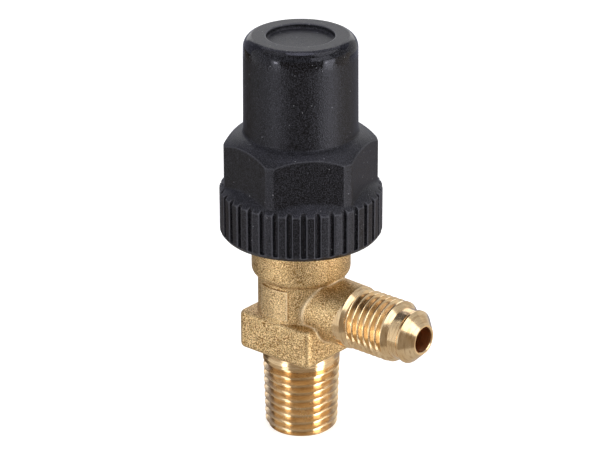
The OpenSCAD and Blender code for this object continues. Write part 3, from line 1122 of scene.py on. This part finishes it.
# %% Glass-filled nylon: its gloss
satin = add(
    tree,
    "ShaderNodeMapRange",
    {"Value": grain.outputs["Fac"]},
    {"From Min": NOISE_LOW, "From Max": NOISE_HIGH, "To Min": 0.34, "To Max": 0.48},
)
gloss = add(
    tree, "ShaderNodeMapRange", {"Value": handled.outputs[0]}, {"To Min": 1.0, "To Max": 0.3}
)
rough = add(
    tree,
    "ShaderNodeMath",
    {0: satin.outputs["Result"], 1: gloss.outputs["Result"]},
    operation="MULTIPLY",
)
relief = add(
    tree, "ShaderNodeMapRange", {"Value": handled.outputs[0]}, {"To Min": 0.8, "To Max": 0.05}
)
bump = add(
    tree,
    "ShaderNodeBump",
    {"Height": grain.outputs["Fac"], "Strength": relief.outputs["Result"]},
    {"Distance": GRAIN_DEPTH * MM},
)
feed(tree, shader, wear_and_painted_light.outputs[2], rough.outputs[0], bump.outputs["Normal"])
print("Finish:", nylon.name)

# %% [markdown]
# ### Inside pieces
#
# These show when the cap is off or the valve is cut open: a plated steel spindle, graphited
# packing, a rubber gasket and a white fluoropolymer seal. Their solids are right as they are and
# only get their finish, each with a fine grain in its colour, its gloss and its surface.

# %% Finishes of the inside pieces
INSIDE_DEPTH = 0.02
# Dark and light colour, metallic, smoothest and roughest place, grain in millimetres
INSIDE = {
    "steel_turned_plated": ("#8E9093", "#B9BBBE", 1.0, 0.24, 0.34, 0.25),
    "graphite_packing_pressed": ("#2C2C2E", "#58585C", 0.0, 0.45, 0.65, 0.5),
    "nitrile_rubber_moulded": ("#101012", "#1E1E20", 0.0, 0.6, 0.8, 0.4),
    "fluoropolymer_turned": ("#DAD9D3", "#F1F0EB", 0.0, 0.3, 0.42, 0.6),
}
inside_finish = {}
for name, (dark, light, metallic, smooth, matte, grain_mm) in INSIDE.items():
    material, tree, shader, place = finish_named(name, Metallic=metallic)
    grain = add(
        tree,
        "ShaderNodeTexNoise",
        {"Vector": place},
        {"Scale": per_metre(grain_mm), "Detail": 2.0},
    )
    skin = add(
        tree,
        "ShaderNodeValToRGB",
        {"Fac": grain.outputs["Fac"]},
        stops=((NOISE_LOW, dark), (NOISE_HIGH, light)),
    )
    rough = add(
        tree,
        "ShaderNodeMapRange",
        {"Value": grain.outputs["Fac"]},
        {"From Min": NOISE_LOW, "From Max": NOISE_HIGH, "To Min": smooth, "To Max": matte},
    )
    bump = add(
        tree,
        "ShaderNodeBump",
        {"Height": grain.outputs["Fac"]},
        {"Strength": 0.15, "Distance": INSIDE_DEPTH * MM},
    )
    feed(tree, shader, skin.outputs["Color"], rough.outputs["Result"], bump.outputs["Normal"])
    inside_finish[name] = material
print("Finishes:", [material.name for material in bpy.data.materials])

# %% [markdown]
# ## Dressing the pieces
#
# The body is one piece of metal with several skins, so its faces take their finish by where they
# lie: turned below the square, above the collar, beyond the branch's end and in the bores, drilled
# in the outlet, and forged elsewhere. On one side the facing tool has also skimmed the round of the
# branch, which leaves a bright crescent there.

# %% Skins of the body
NEAR = 0.02
ON_SKIN = 0.1
DRILLED_FROM = CHAMBER_R - 1.0
SKIM_EDGE = 14.5
SKIM_LEAN = 0.47
SKIM_SIDE = math.radians(-15)
SKINS = (forged, turned_upright, turned_sideways, drilled)


def skin_of(centre):
    """The number in SKINS of the finish at that place."""
    from_branch = math.hypot(centre.y, centre.z - BRANCH_HEIGHT)
    from_axis = math.hypot(centre.x, centre.y)
    if centre.x > DRILLED_FROM and from_branch < OUTLET_BORE_R + NEAR:
        return SKINS.index(drilled)
    faced = RING_START - face_slope * (from_branch - RING_R)
    upwards = (centre.z - BRANCH_HEIGHT) * math.sin(SKIM_SIDE)
    skimmed = SKIM_EDGE - SKIM_LEAN * (upwards - centre.y * math.cos(SKIM_SIDE))
    on_branch = centre.x > CHAMBER_R and from_branch < BRANCH_END_R + ON_SKIN
    if on_branch and centre.x > min(faced, skimmed) - NEAR:
        return SKINS.index(turned_sideways)
    below = centre.z < BLOCK_LOW - NEAR
    above = centre.z > SHOULDER - NEAR
    if below or above or from_axis < GLAND_THREAD_R + NEAR:
        return SKINS.index(turned_upright)
    return SKINS.index(forged)


body.data.materials.clear()
for material in SKINS:
    body.data.materials.append(material)
for face in body.data.polygons:
    face.material_index = skin_of(face.center)
cap.data.materials.clear()
cap.data.materials.append(nylon)
print("Skins of the body:", len(SKINS))

# %% [markdown]
# ### Where edges are rubbed, and where a highlight is painted
#
# Wear belongs on edges, so a finish has to know where they are. Pointiness looks only at the
# nearest points. On the cap, the pale line is a little wider, so each point is marked by how far it
# stands out from its neighbours, and the marks are averaged with those near by. On the body, the
# points along the branch's meeting line are marked by their distance from it, for a painted
# highlight along that line.

# %% Rubbed edges of the cap
WEAR_ROUNDS = 2
LEAST_LENGTH = 1e-9


def edge_wear(mesh):
    """Marks each point by how far it stands out, so that a finish can find rubbed edges."""
    count = len(mesh.vertices)
    place = np.empty(count * 3)
    mesh.vertices.foreach_get("co", place)
    place = place.reshape(-1, 3)
    normal = np.empty(count * 3)
    mesh.vertices.foreach_get("normal", normal)
    normal = normal.reshape(-1, 3)
    ends = np.empty(len(mesh.edges) * 2, dtype=np.int32)
    mesh.edges.foreach_get("vertices", ends)
    here = np.concatenate((ends[0::2], ends[1::2]))
    there = np.concatenate((ends[1::2], ends[0::2]))
    step = place[here] - place[there]
    length = np.maximum(np.linalg.norm(step, axis=1), LEAST_LENGTH)
    neighbours = np.maximum(np.bincount(here, minlength=count), 1)
    stands_out = np.einsum("ij,ij->i", normal[here], step) / length
    wear = np.bincount(here, weights=stands_out, minlength=count) / neighbours
    for _ in range(WEAR_ROUNDS):
        around = np.bincount(here, weights=wear[there], minlength=count) / neighbours
        wear = (wear + around) / 2
    mesh.attributes.new("edge_wear", "FLOAT", "POINT").data.foreach_set("value", wear)
    print("Edge wear of", mesh.name, "from", round(wear.min(), 3), "to", round(wear.max(), 3))


edge_wear(cap.data)

# %% The painted highlight line round the branch
HIGHLIGHT_LINE_WIDTH = 0.55
HIGHLIGHT_LINE_SHARE = 0.55

# Painted highlight: it is strongest on the meeting line and fades with distance from it.
fillet_painted_highlight = body.data.attributes.new("fillet_painted_highlight", "FLOAT", "POINT")
highlit_points = 0
for index, off in near_junction(body):
    fillet_painted_highlight.data[index].value = HIGHLIGHT_LINE_SHARE * (1 - ramp(off, 0, HIGHLIGHT_LINE_WIDTH))
    highlit_points += off < HIGHLIGHT_LINE_WIDTH
# The count is of points on the painted highlight line.
print("Points on the rubbed line:", highlit_points)

# %% [markdown]
# ### On their bodies
#
# The two new pieces go to metres, ride on their bodies and stand for their solids. The other CAD
# pieces stay and only get a finish.

# %% On their bodies
SHARP = math.radians(32)

for piece, node, rides_on, slot in (
    (body, "valve_body", "valve", "forged_brass"),
    (cap, "cap", "cap", "cap_plastic"),
):
    piece.data.transform(Matrix.Scale(MM, 4))
    piece.data.shade_smooth()
    piece.data.set_sharp_from_angle(angle=SHARP)
    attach(piece, rides_on)
    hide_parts(node)
    print(piece.name, "rides on", rides_on)

# %% Finishes on the CAD pieces
WEARS = {
    "seat_plug": turned_upright,
    "gland_ring": turned_upright,
    "gland_nut": turned_upright,
    "spindle": inside_finish["steel_turned_plated"],
    "packing_washer": inside_finish["steel_turned_plated"],
    "packing_ring_lower": inside_finish["graphite_packing_pressed"],
    "packing_ring_middle": inside_finish["graphite_packing_pressed"],
    "packing_ring_upper": inside_finish["graphite_packing_pressed"],
    "cap_gasket": inside_finish["nitrile_rubber_moulded"],
    "seat_seal": inside_finish["fluoropolymer_turned"],
}
for name, material in WEARS.items():
    for material_slot in nodes[name].material_slots:
        material_slot.material = material
print("CAD pieces with a finish:", len(WEARS))

# %% [markdown]
# ## Studio
#
# A bright metal shows what stands round it, so a studio for brass is built of light and dark
# cards. The floor is white and keeps a faint shadow, and the world and three lamps give a plain
# level of light.

# %% White to the eye
def white_for_eye(tree):
    """1 for rays that look at a surface, also in mirrors or through glass, and 0 for its light."""
    rays = add(tree, "ShaderNodeLightPath")
    seen = add(
        tree,
        "ShaderNodeMath",
        {0: rays.outputs["Is Camera Ray"], 1: rays.outputs["Is Glossy Ray"]},
        operation="MAXIMUM",
    )
    seen_through = add(
        tree,
        "ShaderNodeMath",
        {0: seen.outputs[0], 1: rays.outputs["Is Transmission Ray"]},
        operation="MAXIMUM",
    )
    return seen_through.outputs[0]


WHITE = (1, 1, 1, 1)

# %% Floor
FLOOR_SIZE = 6.0
FLOOR_GLOW = 0.62

half = FLOOR_SIZE / 2
floor_mesh = bpy.data.meshes.new("floor")
floor_corners = [(-half, -half, 0), (half, -half, 0), (half, half, 0), (-half, half, 0)]
floor_mesh.from_pydata(floor_corners, [], [(0, 1, 2, 3)])
floor = placed("floor", floor_mesh)
paper = bpy.data.materials.new("paper_white_matte")
paper.use_nodes = True
tree = paper.node_tree
tree.nodes.clear()
matte = add(tree, "ShaderNodeBsdfDiffuse", (), {"Color": linear("#F4F4F4")})
glow = add(tree, "ShaderNodeEmission", (), {"Color": WHITE, "Strength": FLOOR_GLOW})
lit = add(tree, "ShaderNodeAddShader", {0: matte.outputs[0], 1: glow.outputs[0]})
shown = add(
    tree,
    "ShaderNodeMixShader",
    {0: white_for_eye(tree), 1: matte.outputs[0], 2: lit.outputs[0]},
)
add(tree, "ShaderNodeOutputMaterial", {"Surface": shown.outputs[0]})
floor_mesh.materials.append(paper)
floor.visible_glossy = False
floor.visible_shadow = False
print("Floor:", FLOOR_SIZE, "m across")

# %% World
WORLD_LIGHT = 0.4

world = bpy.data.worlds.new("studio")
bpy.context.scene.world = world
world.use_nodes = True
tree = world.node_tree
tree.nodes.clear()
dim = add(tree, "ShaderNodeBackground", (), {"Color": WHITE, "Strength": WORLD_LIGHT})
bright = add(tree, "ShaderNodeBackground", (), {"Color": WHITE, "Strength": 1.0})
shown = add(
    tree,
    "ShaderNodeMixShader",
    {0: white_for_eye(tree), 1: dim.outputs[0], 2: bright.outputs[0]},
)
add(tree, "ShaderNodeOutputWorld", {"Surface": shown.outputs[0]})
print("World lights at", WORLD_LIGHT)

# %% Lamps
# Side and rise in degrees, distance, width and length in metres, radiance
LAMPS = {
    "lamp_left": (-45, 35, 0.6, 0.25, 0.4, 2.2),
    "lamp_right": (50, 35, 0.6, 0.25, 0.4, 2.2),
    "lamp_above": (180, 80, 0.7, 0.4, 0.4, 2.0),
}
AIM = Vector((0, 0, 40 * MM))


def way(side, up):
    """The direction that many degrees right of the camera's side, and that many above level."""
    angle = CAMERA_TURN + math.radians(side)
    level = math.cos(math.radians(up))
    return Vector((math.sin(angle) * level, -math.cos(angle) * level, math.sin(math.radians(up))))


for name, (side, up, reach, width, length, radiance) in LAMPS.items():
    lamp = bpy.data.lights.new(name, "AREA")
    lamp.shape = "RECTANGLE"
    lamp.size = width
    lamp.size_y = length
    lamp.energy = radiance * math.pi * width * length
    stand = placed(name, lamp)
    stand.location = AIM + way(side, up) * reach
    stand.rotation_euler = way(side, up).to_track_quat("Z", "Y").to_euler()
    stand.visible_camera = False
    stand.visible_glossy = False
print("Lamps:", len(LAMPS))

# %% [markdown]
# ### Cards
#
# The cards stand on a sphere round the valve and show only in mirrors. Tall strips at both sides
# give the long highlights on the threads, and a small bright core in each gives the glints on the
# cap's rim. A dim warm card in front gives the dark lines between the highlights, which make the
# metal look like metal. The soft boxes above light the cap's slopes, and the overhead cards its
# flat top and the upper side of the branch.

# %% A card
CARD_REACH = 0.55
CARD_STEP = 4


def between(low, high):
    count = max(1, round(abs(high - low) / CARD_STEP))
    return [low + (high - low) * step / count for step in range(count + 1)]


def card(name, left, right, low, high, colour, strength, reach=CARD_REACH):
    """A card between those sides and rises in degrees."""
    rows = []
    for up in between(low, high):
        rows.append([AIM + way(side, up) * reach for side in between(left, right)])
    across = len(rows[0])
    faces = []
    for row in range(len(rows) - 1):
        for step in range(across - 1):
            here = row * across + step
            faces.append((here, here + 1, here + across + 1, here + across))
    mesh = bpy.data.meshes.new(name)
    mesh.from_pydata([tuple(point) for row in rows for point in row], [], faces)
    sheet = placed(name, mesh)
    paint = bpy.data.materials.new(name + "_face")
    paint.use_nodes = True
    tree = paint.node_tree
    tree.nodes.clear()
    glow = add(
        tree, "ShaderNodeEmission", (), {"Color": linear(colour), "Strength": strength}
    )
    add(tree, "ShaderNodeOutputMaterial", {"Surface": glow.outputs[0]})
    mesh.materials.append(paint)
    sheet.visible_camera = False
    sheet.visible_diffuse = False
    sheet.visible_shadow = False
    sheet.visible_transmission = False


# %% Cards that the metal mirrors
NADIR = -39
# A card at this distance stands in front of the others.
CLOSER = 0.53
# Left and right side, low and high rise in degrees, colour, strength
CARDS = {
    "front_dark": (-41, 46, NADIR, 14, "#FFEEDA", 0.29),
    "front_upper": (-41, 22, 14, 48, "#FFFFFF", 0.45),
    "front_gap": (22, 68, 14, 20, "#FFFFFF", 0.5),
    "front_softbox": (22, 68, 20, 48, "#FFFFFF", 2.3),
    "strip_left": (-58, -41, NADIR, 14, "#FFFFFF", 2.65),
    "strip_left_core": (-53, -46, -9, 2, "#FFFFFF", 15.0, CLOSER),
    "strip_right": (46, 69, NADIR, 14, "#FFFFFF", 5.0),
    "strip_right_core": (47, 54, -9, 3, "#FFFFFF", 11.0, CLOSER),
    "softbox_left": (-112, -41, 14, 30, "#FFFFFF", 0.8),
    "softbox_left_upper": (-112, -41, 30, 48, "#FFFFFF", 0.62),
    "softbox_right": (68, 112, 14, 48, "#FFFFFF", 0.55),
    "side_left": (-112, -58, -20, 14, "#FFFFFF", 0.85),
    "side_left_low": (-112, -58, NADIR, -20, "#FFF2E0", 0.45),
    "side_right": (69, 112, NADIR, 14, "#FFF2E0", 0.85),
    "back_low": (112, 248, NADIR, -25, "#FFE2BC", 0.45),
    "back": (112, 248, -25, 48, "#E6E8FF", 0.42),
    "back_left_dark": (-148, -112, NADIR, -6, "#FFE2BC", 0.1, CLOSER),
    "back_right": (112, 152, -12, 30, "#FFFFFF", 0.7, CLOSER),
    "back_window": (152, 208, 6, 36, "#FFFFFF", 1.5, CLOSER),
    "overhead_left": (-120, -45, 50, 74, "#FFFFFF", 1.0, CLOSER),
    "overhead_right": (45, 125, 50, 74, "#FFFFFF", 2.2, CLOSER),
    "overhead_back": (130, 235, 46, 74, "#F2F2FF", 1.1, CLOSER),
    "overhead_top": (-180, 180, 75, 90, "#F2F2FF", 3.4, CLOSER),
    "ceiling": (-180, 180, 48, 90, "#FFF4E6", 0.25),
    "table": (-180, 180, -90, NADIR, "#FFF8EE", 0.55),
}
for name, values in CARDS.items():
    card(name, *values)
print("Cards:", len(CARDS))

# %% [markdown]
# ## View
#
# The picture keeps colours as they are written, so the view is Standard.

# %% View
bpy.context.scene.view_settings.view_transform = "Standard"
